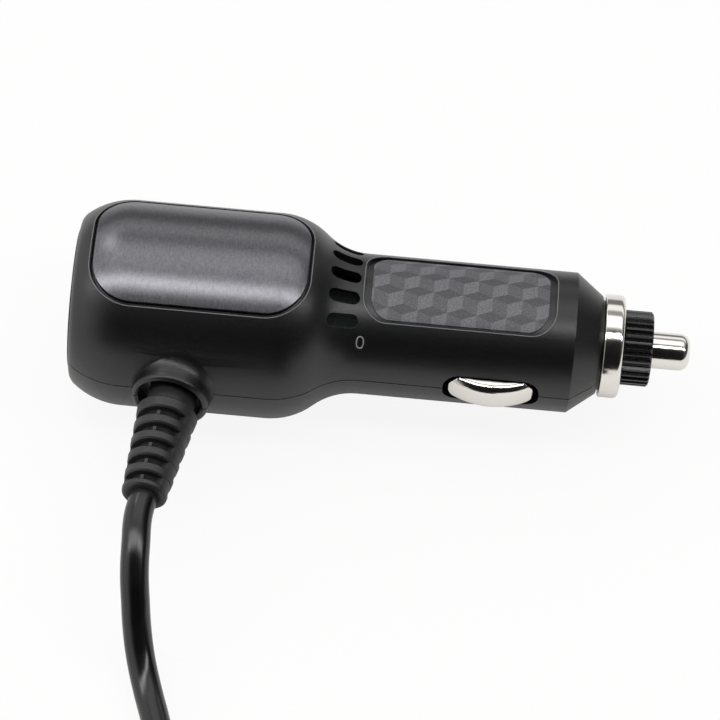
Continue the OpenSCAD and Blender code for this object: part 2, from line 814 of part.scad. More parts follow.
module capacitor(x, d, h) {
    base_t = 0.8;
    color([0.2, 0.22, 0.3]) translate([x, board_w / 2 - 4.4, board_half]) {
        translate([0, 0, base_t]) cylinder(h = h - base_t, d = d);
        translate([0, 0, base_t / 2]) cube([d, d, base_t], center = true);
    }
}

module input_capacitor() capacitor(input_x, input_d, input_h);
module output_capacitor() capacitor(output_x, output_d, output_h);

module converter_chip() {
    color([0.08, 0.08, 0.08]) translate([chip_x, -2.45, board_half]) {
        translate([0, 0, 0.15]) cube([3.9, 4.9, 1.5]);
        for (i = [0:3], y = [-0.9, 4.5]) translate([0.25 + 1.0 * i, y, 0]) cube([0.4, 1.3, 0.35]);
    }
}

module strain_relief() {
    first = rib_start;
    slope = (relief_d2 - relief_d1) / 2 / (relief_tip - first);
    function relief_r(s) = relief_d1 / 2 + slope * (s - first);
    edge = 0.25;
    web_angle = 20;
    web_w = 2.8;
    web_drop = 0.12;
    tab_w = 0.5;
    tab_len = 0.55;
    ribs = [for (i = [0:groove_count])
        let (from = i == 0 ? first : groove_start + groove_pitch * (i - 1) + groove_w)
        let (to = i == groove_count ? relief_tip : groove_start + groove_pitch * i)
        each [[relief_r(from) - groove_depth, from], [relief_r(from) - edge, from],
              [relief_r(from), from + edge], [relief_r(to), to - edge],
              [relief_r(to) - edge, to], [relief_r(to) - groove_depth, to]]];
    outline = [for (i = [0:len(ribs) - 2]) ribs[i]];
    color(black_rubber) at_exit() {
        rotate_extrude() polygon(concat(
            [[0, relief_flange_s - relief_flange_t], [relief_flange_r, relief_flange_s - relief_flange_t],
             [relief_flange_r, relief_flange_s - seat_gap],
             [relief_neck_d / 2, relief_flange_s - seat_gap], [relief_neck_d / 2, first]],
            outline, [[0, relief_tip]]));
        // two broad webs across the grooves, and a small tab in each groove between them
        intersection() {
            for (a = [web_angle, web_angle + 180]) rotate(a) {
                translate([0, -web_w / 2, first + 0.5]) cube([relief_d1, web_w, relief_tip - first - 1]);
                for (i = [1:groove_count])
                    let (groove_end = groove_start + groove_pitch * (i - 1) + groove_w)
                    rotate(80) translate([0, -tab_w / 2, groove_end - tab_len])
                        cube([relief_d1, tab_w, tab_len + edge]);
            }
            rotate_extrude() polygon([[0, first], [relief_r(first) - web_drop, first],
                                      [relief_r(relief_tip) - web_drop, relief_tip], [0, relief_tip]]);
        }
    }
}

module lead_wires() {
    color([0.5, 0.1, 0.08]) at_exit() for (x = [-1.2, 1.2])
        translate([x, board_half + 0.7, wire_s])
            cylinder(h = relief_flange_s - relief_flange_t - wire_s, r = 0.6, $fn = 24);
}

module lead_tube() {
    color(black_rubber) swept(curve(lead_route, 3), lead_d / 2);
}

// Outer block of the tie, which the coil's underside makes room for
module tie_block(inset = 0) {
    inner_side = sqrt(coil_in_r * coil_in_r - tie_w * tie_w / 4) - seat_gap;
    span = coil_out_r + seat_gap - inner_side;
    translate([coil_x, coil_y, floor_z]) rotate(tie_angle)
        translate([inner_side - tie_t + inset, -tie_w / 2 - inset, inset])
            cube([span + 2 * (tie_t - inset), tie_w + 2 * inset, coil_h + seat_gap + tie_t - 2 * inset]);
}

module lead_coil() {
    color(black_rubber) difference() {
        translate([coil_x, coil_y, floor_z]) rotate_extrude()
            translate([coil_in_r, 0]) square([coil_out_r - coil_in_r, coil_h]);
        intersection() {
            tie_block();
            translate([coil_x, coil_y, floor_z - 1]) cylinder(h = 1 + tie_t, r = coil_out_r + 2);
        }
    }
}

module coil_tie() {
    color(black_rubber) difference() {
        tie_block();
        tie_block(tie_t);
    }
}

module lead_tail() {
    color(black_rubber) swept(curve(tail_route, 3), lead_d / 2);
}

module at_grip() {
    translate([grip_x, grip_y, grip_z]) rotate([0, 90, 0]) rotate(90) children();
}

module connector_grip() {
    color(black_rubber) at_grip() {
        hull() {
            linear_extrude(1) round_rect(grip_w - 2, grip_h - 1, 2);
            translate([0, 0, 2]) linear_extrude(grip_len - 3) round_rect(grip_w, grip_h, 2.4);
            linear_extrude(grip_len) round_rect(grip_w - 1, grip_h - 1, 2);
        }
        translate([0, 0, -grip_neck_len])
            cylinder(h = grip_neck_len + 1, r1 = lead_d / 2 + 0.3, r2 = grip_h / 2 - 0.4);
    }
}

module connector_shell() {
    color(nickel) at_grip() translate([0, 0, grip_len]) linear_extrude(plug_shell_len) difference() {
        round_rect(plug_shell_w, plug_shell_h, plug_shell_h / 2 - eps);
        round_rect(plug_shell_w - 2 * plug_shell_t, plug_shell_h - 2 * plug_shell_t,
                   plug_shell_h / 2 - plug_shell_t - eps);
    }
}

module connector_tongue() {
    inner_h = plug_shell_h - 2 * plug_shell_t;
    inner_w = plug_shell_w - 2 * plug_shell_t - inner_h;
    color([0.1, 0.1, 0.1]) at_grip() translate([0, 0, grip_len]) difference() {
        translate([-inner_w / 2, -inner_h / 2, 0]) cube([inner_w, inner_h, plug_shell_len - 0.4]);
        translate([-inner_w / 2 + 0.4, -0.35, 1]) cube([inner_w - 0.8, 0.7, plug_shell_len]);
    }
}

upper_shell();
lower_shell();
usb_face_plate();
head_inlay();
barrel_inlay();
nose_ring();
fuse_cap();
centre_pin();
fuse_glass();
fuse_end_caps();
fuse_element();
fuse_sleeve();
fuse_spring();
live_contact();
near_side_contact();
far_side_contact();
near_ground_spring();
far_ground_spring();
circuit_board();
upper_usb_shell();
lower_usb_shell();
upper_usb_tongue();
lower_usb_tongue();
upper_usb_contacts();
lower_usb_contacts();
power_inductor();
input_capacitor();
output_capacitor();
converter_chip();
strain_relief();
lead_wires();
lead_tube();
lead_coil();
lead_tail();
coil_tie();
connector_grip();
connector_shell();
connector_tongue();
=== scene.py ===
import math

import bmesh
import bpy
from mathutils import Matrix, Vector


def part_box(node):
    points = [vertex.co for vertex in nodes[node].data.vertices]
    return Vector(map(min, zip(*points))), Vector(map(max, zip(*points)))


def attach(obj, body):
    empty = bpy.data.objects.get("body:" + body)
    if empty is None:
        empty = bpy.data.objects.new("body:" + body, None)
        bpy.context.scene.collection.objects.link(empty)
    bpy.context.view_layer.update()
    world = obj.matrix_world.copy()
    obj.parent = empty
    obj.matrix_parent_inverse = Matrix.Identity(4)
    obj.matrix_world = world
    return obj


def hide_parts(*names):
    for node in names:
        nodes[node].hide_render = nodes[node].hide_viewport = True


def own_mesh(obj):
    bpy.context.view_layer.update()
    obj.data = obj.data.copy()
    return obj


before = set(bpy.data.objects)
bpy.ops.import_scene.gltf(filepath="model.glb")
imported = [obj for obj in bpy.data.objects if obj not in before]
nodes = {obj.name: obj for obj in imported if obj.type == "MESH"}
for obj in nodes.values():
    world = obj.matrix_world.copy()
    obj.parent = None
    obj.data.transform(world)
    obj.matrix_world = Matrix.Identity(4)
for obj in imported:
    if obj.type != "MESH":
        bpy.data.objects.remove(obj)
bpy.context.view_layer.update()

scene = bpy.context.scene

MM = 0.001
HEAD_R = -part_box("lower_shell")[0].z
FLOOR_Z = -HEAD_R
BARREL_R = 10.3 * MM
LEAD_R = 2.05 * MM
NECK_END = 0.0424
# Most values of a noise lie in this span
NOISE_SPAN = (0.3, 0.7)


def linear(colour):
    """Turns an sRGB hex colour into linear red, green, blue and alpha."""
    channels = [int(colour[i:i + 2], 16) / 255 for i in (1, 3, 5)]
    return [c / 12.92 if c <= 0.04045 else ((c + 0.055) / 1.055) ** 2.4 for c in channels] + [1.0]


def add_node(tree, kind, inputs=None, **settings):
    """Adds a node with its settings. An input is a plain value, or the output that feeds it."""
    node = tree.nodes.new(kind)
    for name, value in settings.items():
        setattr(node, name, value)
    for name, value in (inputs or {}).items():
        if isinstance(value, bpy.types.NodeSocket):
            tree.links.new(value, node.inputs[name])
        else:
            node.inputs[name].default_value = value
    return node


def noise(tree, place, grain, detail=2.0):
    """Noise from 0 to 1 whose grains are about this wide, in metres."""
    settings = {"Vector": place, "Scale": 1 / grain, "Detail": detail}
    return add_node(tree, "ShaderNodeTexNoise", settings).outputs["Fac"]


def drawn_out(tree, place, scale):
    """Coordinates for a pattern that is drawn out along the axes whose scale is under 1."""
    return add_node(tree, "ShaderNodeMapping", {"Vector": place, "Scale": scale}).outputs["Vector"]


def spread(tree, value, target=(0.0, 1.0), source=(0.0, 1.0)):
    """Maps a value from the source span to the target span, and keeps it inside."""
    settings = {"Value": value, "From Min": source[0], "From Max": source[1],
                "To Min": target[0], "To Max": target[1]}
    return add_node(tree, "ShaderNodeMapRange", settings).outputs["Result"]


def calc(tree, operation, *values):
    """Adds a math node and returns its output."""
    return add_node(tree, "ShaderNodeMath", dict(enumerate(values)), operation=operation).outputs[0]


def blend(tree, factor, a, b):
    """Mixes two values."""
    return add_node(tree, "ShaderNodeMix", {"Factor": factor, "A": a, "B": b}).outputs["Result"]


def tint(tree, factor, a, b, blend_type="MIX"):
    """Mixes two colours. Each is a hex colour, or the output that feeds it."""
    a, b = (linear(colour) if isinstance(colour, str) else colour for colour in (a, b))
    return add_node(tree, "ShaderNodeMix", {"Factor": factor, "A": a, "B": b},
                    data_type="RGBA", blend_type=blend_type).outputs["Result"]


def relief(tree, height, depth, edge=None):
    """Normals of a fine relief of this depth, with the piece's edges rounded by this radius."""
    settings = {"Height": height, "Distance": depth, "Strength": 1.0}
    if edge is not None:
        settings["Normal"] = add_node(tree, "ShaderNodeBevel", {"Radius": edge}, samples=6).outputs["Normal"]
    return add_node(tree, "ShaderNodeBump", settings).outputs["Normal"]


def start_material(name):
    """Starts a material and returns it with its tree and the piece's own coordinates, in metres."""
    material = bpy.data.materials.new(name)
    material.use_nodes = True
    material.node_tree.nodes.clear()
    coordinates = add_node(material.node_tree, "ShaderNodeTexCoord").outputs["Object"]
    return material, material.node_tree, coordinates


def finish_material(tree, inputs):
    """Adds the surface shader with these inputs, and the output."""
    shader = add_node(tree, "ShaderNodeBsdfPrincipled", inputs)
    add_node(tree, "ShaderNodeOutputMaterial", {"Surface": shader.outputs["BSDF"]})


def moulded_abs(name, colours, roughness, grain, depth, edge):
    """Injection-moulded ABS: near black, with the fine matt grain of a spark-eroded mould and soft edges."""
    material, tree, coordinates = start_material(name)
    fine = noise(tree, coordinates, grain, 3.0)
    cloud = noise(tree, coordinates, 9 * MM)
    gloss = spread(tree, fine, (roughness - 0.05, roughness + 0.05), NOISE_SPAN)
    finish_material(tree, {"Base Color": tint(tree, cloud, *colours), "Roughness": gloss, "IOR": 1.58,
                           "Normal": relief(tree, fine, depth, edge)})
    return material


def blasted_aluminium():
    """Grey anodised aluminium, blasted and faintly brushed across: a soft sheen with a fine sparkle."""
    material, tree, coordinates = start_material("blasted_anodised_aluminium")
    grit = noise(tree, coordinates, 0.3 * MM)
    brushed = noise(tree, drawn_out(tree, coordinates, (1.0, 0.3, 0.3)), 0.28 * MM, 3.0)
    both = blend(tree, 0.5, grit, brushed)
    colour = tint(tree, spread(tree, both, source=NOISE_SPAN), "#626266", "#7c7c80")
    gloss = spread(tree, brushed, (0.25, 0.35))
    finish_material(tree, {"Base Color": colour, "Metallic": 1.0, "Roughness": gloss,
                           "Normal": relief(tree, both, 0.01 * MM, 0.1 * MM)})
    return material


def printed_film():
    """Satin polyester film with a traditional tumbling-block print in three greys and a fine speckle."""
    block_w = 4.3 * MM
    row_h = 3.1 * MM
    top_h = 0.87 * MM
    row_phase = -0.24
    column_phase = -0.135
    # Added to the rows' count, which is negative on one half of the film
    rows_below = 20
    material, tree, coordinates = start_material("printed_satin_film")
    place = add_node(tree, "ShaderNodeSeparateXYZ", {"Vector": coordinates})
    toward_front = calc(tree, "MULTIPLY", place.outputs["Y"], -1.0)
    angle = calc(tree, "ARCTAN2", toward_front, place.outputs["Z"])
    rows = calc(tree, "MULTIPLY_ADD", angle, BARREL_R / row_h, rows_below + row_phase)
    row = calc(tree, "FLOOR", rows)
    down = calc(tree, "FRACT", rows)
    columns = calc(tree, "MULTIPLY_ADD", place.outputs["X"], 1 / block_w, column_phase)
    # Each row is shifted by half a block
    across = calc(tree, "FRACT", calc(tree, "MULTIPLY_ADD", row, 0.5, columns))
    centred = calc(tree, "MULTIPLY_ADD", across, 2.0, -1.0)
    side = calc(tree, "ABSOLUTE", centred)
    lower_edge = calc(tree, "MULTIPLY_ADD", side, -top_h / row_h, top_h / row_h)
    upper_edge = calc(tree, "MULTIPLY_ADD", side, -top_h / row_h, 1.0)
    in_lower = calc(tree, "LESS_THAN", down, lower_edge)
    in_upper = calc(tree, "GREATER_THAN", down, upper_edge)
    is_top = calc(tree, "MAXIMUM", in_lower, in_upper)
    is_right = calc(tree, "GREATER_THAN", centred, 0.0)
    blocks = tint(tree, is_top, tint(tree, is_right, "#56565a", "#68686c"), "#48484c")
    speckle = noise(tree, coordinates, 0.2 * MM)
    speckled = spread(tree, speckle, (0.72, 1.28), (0.35, 0.65))
    colour = tint(tree, 1.0, blocks, speckled, "MULTIPLY")
    finish_material(tree, {"Base Color": colour, "Roughness": 0.5, "IOR": 1.5,
                           "Normal": relief(tree, speckle, 0.004 * MM)})
    return material


def bright_metal(name, colours, roughness, edge):
    """Plated, stamped or drawn metal: a mirror softened by faint turning marks and handling haze."""
    material, tree, coordinates = start_material(name)
    haze = noise(tree, coordinates, 2.5 * MM, 4.0)
    turned = noise(tree, drawn_out(tree, coordinates, (1.0, 0.08, 0.08)), 0.16 * MM)
    gloss = spread(tree, haze, (roughness - 0.03, roughness + 0.04), NOISE_SPAN)
    finish_material(tree, {"Base Color": tint(tree, haze, *colours), "Metallic": 1.0, "Roughness": gloss,
                           "Normal": relief(tree, turned, 0.0015 * MM, edge)})
    return material


def soft_pvc(name, colours, painted_shade_colour, roughness, grain, depth):
    """Moulded or extruded PVC: black and slightly uneven in gloss, and duller in its hollows, where painted
    shade darkens its colour.
    """
    material, tree, coordinates = start_material(name)
    fine = noise(tree, coordinates, grain, 3.0)
    patches = noise(tree, coordinates, 5 * MM, 3.0)
    gloss = spread(tree, patches, (roughness - 0.05, roughness + 0.07), NOISE_SPAN)
    # Painted shade: ambient occlusion darkens the colour in hollows and grooves towards the shade colour
    shelter = add_node(tree, "ShaderNodeAmbientOcclusion", {"Distance": 1.5 * MM}, samples=8)
    opened = spread(tree, shelter.outputs["AO"], source=(0.55, 0.9))
    shaded = tint(tree, opened, painted_shade_colour, tint(tree, patches, *colours))
    finish_material(tree, {"Base Color": shaded, "Roughness": blend(tree, opened, 0.95, gloss), "IOR": 1.52,
                           "Normal": relief(tree, fine, depth, 0.12 * MM)})
    return material


def circuit_laminate():
    """Glass-epoxy laminate: green solder resist over copper tracks, which show as lighter lines."""
    material, tree, coordinates = start_material("solder_resist_laminate")
    tracks = add_node(tree, "ShaderNodeTexBrick", {
        "Vector": coordinates, "Color1": linear("#02140d"), "Color2": linear("#031910"),
        "Mortar": linear("#0a3a27"), "Scale": 1 / (2.4 * MM), "Mortar Size": 0.06, "Mortar Smooth": 0.2,
        "Brick Width": 1.6, "Row Height": 0.55})
    holes = add_node(tree, "ShaderNodeTexVoronoi", {"Vector": coordinates, "Scale": 1 / (3.2 * MM)})
    is_pad = calc(tree, "LESS_THAN", holes.outputs["Distance"], 0.16)
    colour = tint(tree, is_pad, tracks.outputs["Color"], "#2a332a")
    finish_material(tree, {"Base Color": colour, "Roughness": 0.5, "IOR": 1.5,
                           "Normal": relief(tree, tracks.outputs["Fac"], 0.02 * MM)})
    return material


def clear_glass():
    """Thin soda glass of a fuse: clear, with faint draw lines along it."""
    material, tree, coordinates = start_material("drawn_fuse_glass")
    lines = noise(tree, drawn_out(tree, coordinates, (0.05, 1.0, 1.0)), 0.5 * MM)
    finish_material(tree, {"Base Color": linear("#f2f7f5"), "Roughness": 0.03, "IOR": 1.52,
                           "Transmission Weight": 1.0, "Normal": relief(tree, lines, 0.01 * MM)})
    return material


def plain_moulding(name, light, dark, roughness, grain):
    """A small moulded, cast or sleeved piece, a little mottled in colour and gloss."""
    material, tree, coordinates = start_material(name)
    mottle = noise(tree, coordinates, grain, 4.0)
    gloss = spread(tree, mottle, (roughness - 0.08, roughness + 0.08))
    finish_material(tree, {"Base Color": tint(tree, mottle, dark, light), "Roughness": gloss,
                           "Normal": relief(tree, mottle, 0.01 * MM, 0.1 * MM)})
    return material


def woven_strap():
    """Hook-and-loop nylon strap: a close weave with a dull fuzz on it."""
    material, tree, coordinates = start_material("woven_nylon_strap")
    weave = add_node(tree, "ShaderNodeTexChecker", {"Vector": coordinates, "Scale": 1 / (0.45 * MM),
                                                    "Color1": linear("#141415"), "Color2": linear("#1f1f21")})
    fuzz = noise(tree, coordinates, 0.25 * MM, 5.0)
    both = blend(tree, 0.6, weave.outputs["Fac"], fuzz)
    finish_material(tree, {"Base Color": weave.outputs["Color"], "Roughness": 0.85, "Sheen Weight": 0.35,
                           "Normal": relief(tree, both, 0.12 * MM)})
    return material


# Materials
housing_abs = moulded_abs("moulded_abs_housing", ("#08080a", "#0b0b0c"), roughness=0.36, grain=0.26 * MM,
                          depth=0.01 * MM, edge=0.09 * MM)
cap_abs = moulded_abs("moulded_abs_cap", ("#0b0b0c", "#0f0f10"), roughness=0.24, grain=0.3 * MM,
                      depth=0.001 * MM, edge=0.05 * MM)
# Light grey colour on the black housing's recess edges: a painted highlight
highlight_lip_abs = moulded_abs("painted_highlight_lip", ("#707074", "#7a7a7e"), roughness=0.16, grain=0.3 * MM,
                      depth=0.0005 * MM, edge=0.02 * MM)
plate_aluminium = blasted_aluminium()
film = printed_film()
bright_nickel = bright_metal("bright_nickel_plate", ("#e6e2dc", "#efebe5"), roughness=0.12, edge=0.1 * MM)
stamped_steel = bright_metal("tinned_stamped_steel", ("#b9b8b5", "#cbc9c5"), roughness=0.24, edge=0.08 * MM)
gold_plate = bright_metal("flash_gold_contact_plate", ("#d0a24a", "#ddb662"), roughness=0.2, edge=0.03 * MM)
spring_steel = bright_metal("drawn_spring_steel", ("#9a9a9c", "#b4b3b2"), roughness=0.28, edge=0.03 * MM)
copper_wire = bright_metal("enamelled_copper_wire", ("#a8552c", "#bd6a39"), roughness=0.25, edge=0.02 * MM)
# The third colour of each PVC is painted shade for its hollows
relief_pvc = soft_pvc("moulded_soft_pvc", ("#232325", "#2b2b2d"), "#020202", roughness=0.42,
                      grain=0.3 * MM, depth=0.012 * MM)
jacket_pvc = soft_pvc("extruded_pvc_jacket", ("#0b0b0c", "#0f0f10"), "#040405", roughness=0.22,
                      grain=0.5 * MM, depth=0.003 * MM)
laminate = circuit_laminate()
fuse_glass = clear_glass()
nylon_white = plain_moulding("moulded_white_nylon", "#e4e2dc", "#d8d5cd", 0.45, 0.6 * MM)
fibre_tube = plain_moulding("vulcanised_fibre_tube", "#b9b19f", "#a39a86", 0.6, 0.4 * MM)
ferrite = plain_moulding("pressed_ferrite", "#38383b", "#29292b", 0.5, 0.3 * MM)
capacitor_can = plain_moulding("sleeved_capacitor_can", "#3b4150", "#30353f", 0.35, 1.2 * MM)
chip_epoxy = plain_moulding("moulded_chip_epoxy", "#1c1c1d", "#141415", 0.55, 0.2 * MM)
wire_pvc = plain_moulding("red_wire_insulation", "#9b1d16", "#7f1711", 0.4, 0.8 * MM)
tongue_nylon = plain_moulding("moulded_black_nylon", "#1b1b1c", "#111112", 0.4, 0.4 * MM)
strap_nylon = woven_strap()
mark_ink = plain_moulding("pad_printed_grey_ink", "#a2a2a4", "#8e8e90", 0.5, 0.15 * MM)

NODE_MATERIALS = {
    "upper_shell": housing_abs, "lower_shell": housing_abs, "usb_face_plate": housing_abs,
    "head_inlay": plate_aluminium, "barrel_inlay": film,
    "nose_ring": bright_nickel, "centre_pin": bright_nickel, "near_side_contact": bright_nickel,
    "far_side_contact": bright_nickel, "fuse_end_caps": bright_nickel,
    "fuse_cap": cap_abs, "fuse_glass": fuse_glass, "fuse_element": stamped_steel,
    "fuse_sleeve": fibre_tube, "live_contact": stamped_steel,
    "circuit_board": laminate, "upper_usb_shell": stamped_steel, "lower_usb_shell": stamped_steel,
    "upper_usb_tongue": nylon_white, "lower_usb_tongue": nylon_white,
    "upper_usb_contacts": gold_plate, "lower_usb_contacts": gold_plate,
    "power_inductor": ferrite, "input_capacitor": capacitor_can, "output_capacitor": capacitor_can,
    "converter_chip": chip_epoxy, "strain_relief": relief_pvc, "lead_wires": wire_pvc,
    "connector_shell": stamped_steel, "connector_tongue": tongue_nylon,
}
for name, material in NODE_MATERIALS.items():
    nodes[name].data.materials.clear()
    nodes[name].data.materials.append(material)


def add_camera():
    """Looks as the photograph does: 54 degrees above the table, with a small turn about its own axis."""
    elevation = math.radians(54)
    roll = math.radians(5.17)
    distance = 0.6
    aim = Vector((0.04245, -0.00433, -0.00314))
    sensor = 36.0
    focal_px = 4093
    frame_px = 720
    back = Vector((0, -math.cos(elevation), math.sin(elevation)))
    level = Vector((1, 0, 0))
    rise = back.cross(level)
    right = math.cos(roll) * level + math.sin(roll) * rise
    up = back.cross(right)
    data = bpy.data.cameras.new("camera")
    data.sensor_width = sensor
    data.lens = sensor * focal_px / frame_px
    camera = bpy.data.objects.new("camera", data)
    turned = Matrix((right, up, back)).transposed().to_4x4()
    camera.matrix_world = Matrix.Translation(aim + distance * back) @ turned
    scene.collection.objects.link(camera)
    scene.camera = camera


def add_object(name, data, material, body):
    """Adds a piece with its material, riding on a CAD body."""
    piece = bpy.data.objects.new(name, data)
    scene.collection.objects.link(piece)
    data.materials.append(material)
    if isinstance(data, bpy.types.Mesh):
        for face in data.polygons:
            face.use_smooth = True
    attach(piece, body)
    return piece


# The lead: down to the table, along it, round the coil, and up onto the coil to its connector
COIL_CENTRE = Vector((0.048, -0.099, 0.0))
COLUMN_R = (0.0261, 0.022, 0.0179)
LAYERS = 4
COIL_LOW = FLOOR_Z + LEAD_R
COIL_HIGH = COIL_LOW + 2 * (LAYERS - 1) * LEAD_R
COIL_TOP = COIL_HIGH + LEAD_R
GRIP_X = COIL_CENTRE.x + 0.002
GRIP_Y = COIL_CENTRE.y - 0.022
GRIP_Z = COIL_TOP + 0.003
GRIP_NECK = 0.005
GRIP_LEN = 0.018
LEAD_EXIT = (0.013642, -0.033858, 0.0)
ROUTE = [
    LEAD_EXIT,
    (0.0132, -0.0372, -0.0002),
    (0.0133, -0.0410, -0.0012),
    (0.0135, -0.0446, -0.0031),
    (0.0140, -0.0478, -0.0058),
    (0.0146, -0.0508, -0.0087),
    (0.0155, -0.0540, -0.0111),
    (0.0168, -0.0578, -0.0126),
    (0.0184, -0.0624, COIL_LOW),
    (0.0202, -0.0685, COIL_LOW),
    (0.0213, -0.0750, COIL_LOW),
    (0.0219, -0.0820, COIL_LOW),
    (0.0219, -0.0900, COIL_LOW),
]
TAIL = [
    (COIL_CENTRE.x - 0.0168, COIL_CENTRE.y - 0.0061, COIL_TOP - LEAD_R),
    (COIL_CENTRE.x - 0.0152, COIL_CENTRE.y - 0.0107, COIL_TOP - 0.0006),
    (COIL_CENTRE.x - 0.0128, COIL_CENTRE.y - 0.0152, COIL_TOP + 0.0012),
    (COIL_CENTRE.x - 0.0094, COIL_CENTRE.y - 0.0189, COIL_TOP + 0.0024),
    (COIL_CENTRE.x - 0.0060, COIL_CENTRE.y - 0.0209, GRIP_Z - 0.0001),
    (GRIP_X - GRIP_NECK, GRIP_Y, GRIP_Z),
]
# Degrees along one column of the coil, over to the next column, where the first begins, and between points
TURN_DEG = 1080
SHIFT_DEG = 190
START_DEG = 180
STEP_DEG = 20


def smooth_step(share):
    """Eases from 0 to 1."""
    share = min(1.0, max(0.0, share))
    return share * share * (3 - 2 * share)


def coil_points():
    """Three columns of turns: up the outer one, down the middle one and up the inner one."""
    end_deg = 3 * TURN_DEG + 2 * SHIFT_DEG
    points = []
    for degree in range(STEP_DEG, end_deg - STEP_DEG, STEP_DEG):
        column = min(2, int(degree // (TURN_DEG + SHIFT_DEG)))
        within = degree - column * (TURN_DEG + SHIFT_DEG)
        climb = min(1.0, within / TURN_DEG)
        if column == 1:
            climb = 1 - climb
        radius = COLUMN_R[column]
        if within > TURN_DEG:
            shift = smooth_step((within - TURN_DEG) / SHIFT_DEG)
            radius += (COLUMN_R[column + 1] - radius) * shift
        angle = math.radians(START_DEG + degree)
        height = COIL_LOW + climb * (COIL_HIGH - COIL_LOW)
        across = radius * math.cos(angle)
        points.append((COIL_CENTRE.x + across, COIL_CENTRE.y + radius * math.sin(angle), height))
    return points


def add_lead():
    """The whole lead as one curve, from inside the strain relief to inside the connector's grip."""
    inside = 0.002
    start = Vector(LEAD_EXIT)
    lean = math.radians(7.5)
    hidden_start = start + inside * Vector((math.sin(lean), math.cos(lean), 0))
    hidden_end = (GRIP_X - GRIP_NECK + inside, GRIP_Y, GRIP_Z)
    points = [hidden_start] + ROUTE + coil_points() + TAIL + [hidden_end]
    curve = bpy.data.curves.new("lead", "CURVE")
    curve.dimensions = "3D"
    curve.bevel_depth = LEAD_R
    curve.bevel_resolution = 7
    curve.use_fill_caps = True
    curve.resolution_u = 8
    spline = curve.splines.new("BEZIER")
    spline.bezier_points.add(len(points) - 1)
    for bezier_point, place in zip(spline.bezier_points, points):
        bezier_point.co = place
        bezier_point.handle_left_type = "AUTO"
        bezier_point.handle_right_type = "AUTO"
    lead = add_object("lead", curve, jacket_pvc, "plug")
    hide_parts("lead_tube", "lead_coil", "lead_tail")
    return lead


def join_rings(shape, rings):
    """Joins closed rings of points with faces, each to the next."""
    for a, b in zip(rings, rings[1:]):
        for k in range(len(a)):
            after = (k + 1) % len(a)
            shape.faces.new((a[k], a[after], b[after], b[k]))


def lathe(name, profile, steps, material, body):
    """Turns (height, radius) points about Z into a piece."""
    mesh = bpy.data.meshes.new(name)
    shape = bmesh.new()
    rings = []
    for height, radius in profile:
        ring = []
        for k in range(steps):
            angle = 2 * math.pi * k / steps
            ring.append(shape.verts.new((radius * math.cos(angle), radius * math.sin(angle), height)))
        rings.append(ring)
    join_rings(shape, rings)
    bmesh.ops.recalc_face_normals(shape, faces=shape.faces)
    shape.to_mesh(mesh)
    shape.free()
    return add_object(name, mesh, material, body)


def sweep(name, points, section, material, body):
    """Sweeps a closed section, given as (sideways, outward) pairs, along points with their frames."""
    mesh = bpy.data.meshes.new(name)
    shape = bmesh.new()
    rings = []
    for place, sideways, outward in points:
        rings.append([shape.verts.new(place + s * sideways + o * outward) for s, o in section])
    join_rings(shape, rings)
    shape.faces.new(rings[0])
    shape.faces.new(rings[-1])
    bmesh.ops.recalc_face_normals(shape, faces=shape.faces)
    shape.to_mesh(mesh)
    shape.free()
    return add_object(name, mesh, material, body)


def add_fuse_spring():
    """Coil spring behind the fuse, with closed ends, built at the length of the CAD's spring. The real one
    shortens as the tip is pressed.
    """
    low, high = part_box("fuse_spring")
    wire_r = 0.000225
    coil_r = high.z - wire_r
    start, end = low.x, high.x
    turns = 8.5
    steps = 20
    # Share of the wire in each closed end, and how far the pitch eases in after it
    close_share = 0.1
    eased = 0.3
    total = int(turns * steps)
    path = []
    for i in range(total + 1):
        open_share = (i / total - close_share) / (1 - 2 * close_share)
        travel = smooth_step(open_share) * eased
        travel += (1 - eased) * min(1.0, max(0.0, open_share))
        angle = 2 * math.pi * i / steps
        outward = Vector((0, math.cos(angle), math.sin(angle)))
        x = start + wire_r + travel * (end - start - 2 * wire_r)
        path.append((Vector((x, 0, 0)) + coil_r * outward, Vector((1, 0, 0)), outward))
    sides = 10
    corners = [2 * math.pi * k / sides for k in range(sides)]
    section = [(wire_r * math.cos(corner), wire_r * math.sin(corner)) for corner in corners]
    spring = sweep("fuse_coil_spring", path, section, spring_steel, "plug")
    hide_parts("fuse_spring")
    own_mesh(spring)


def add_ground_spring(end, side):
    """Bow of gilt spring strip under a side contact, with its tail, fitted to the CAD's spring. The real one
    flattens as the contact is pressed.
    """
    low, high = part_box(end + "_ground_spring")
    strip = 0.00025
    bow_half, bow_half_w = 0.0083, 0.0015
    tail_overlap = 0.0003
    tail_z = (0.0006, 0.002)
    top = max(abs(low.y), abs(high.y)) - strip / 2
    foot = min(abs(low.y), abs(high.y)) + strip / 2
    rise = top - foot
    bow_r = (bow_half ** 2 + rise ** 2) / (2 * rise)
    middle = Vector((high.x - bow_half, side * (top - bow_r), 0))
    half_angle = math.asin(bow_half / bow_r)
    steps = 24
    path = []
    for i in range(steps + 1):
        angle = half_angle * (2 * i / steps - 1)
        outward = Vector((math.sin(angle), side * math.cos(angle), 0))
        path.append((middle + bow_r * outward, Vector((0, 0, 1)), outward))
    section = [(-bow_half_w, -strip / 2), (bow_half_w, -strip / 2),
               (bow_half_w, strip / 2), (-bow_half_w, strip / 2)]
    spring = sweep(end + "_contact_bow", path, section, gold_plate, "plug")
    shape = bmesh.new()
    shape.from_mesh(spring.data)
    tail_low = Vector((low.x, side * foot - strip / 2, tail_z[0]))
    tail_high = Vector((high.x - 2 * bow_half + tail_overlap, side * foot + strip / 2, tail_z[1]))
    centred = Matrix.Translation((tail_low + tail_high) / 2)
    bmesh.ops.create_cube(shape, size=1.0, matrix=centred @ Matrix.Diagonal((*(tail_high - tail_low), 1)))
    shape.to_mesh(spring.data)
    shape.free()
    for face in spring.data.polygons:
        face.use_smooth = False
    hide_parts(end + "_ground_spring")
    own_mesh(spring)


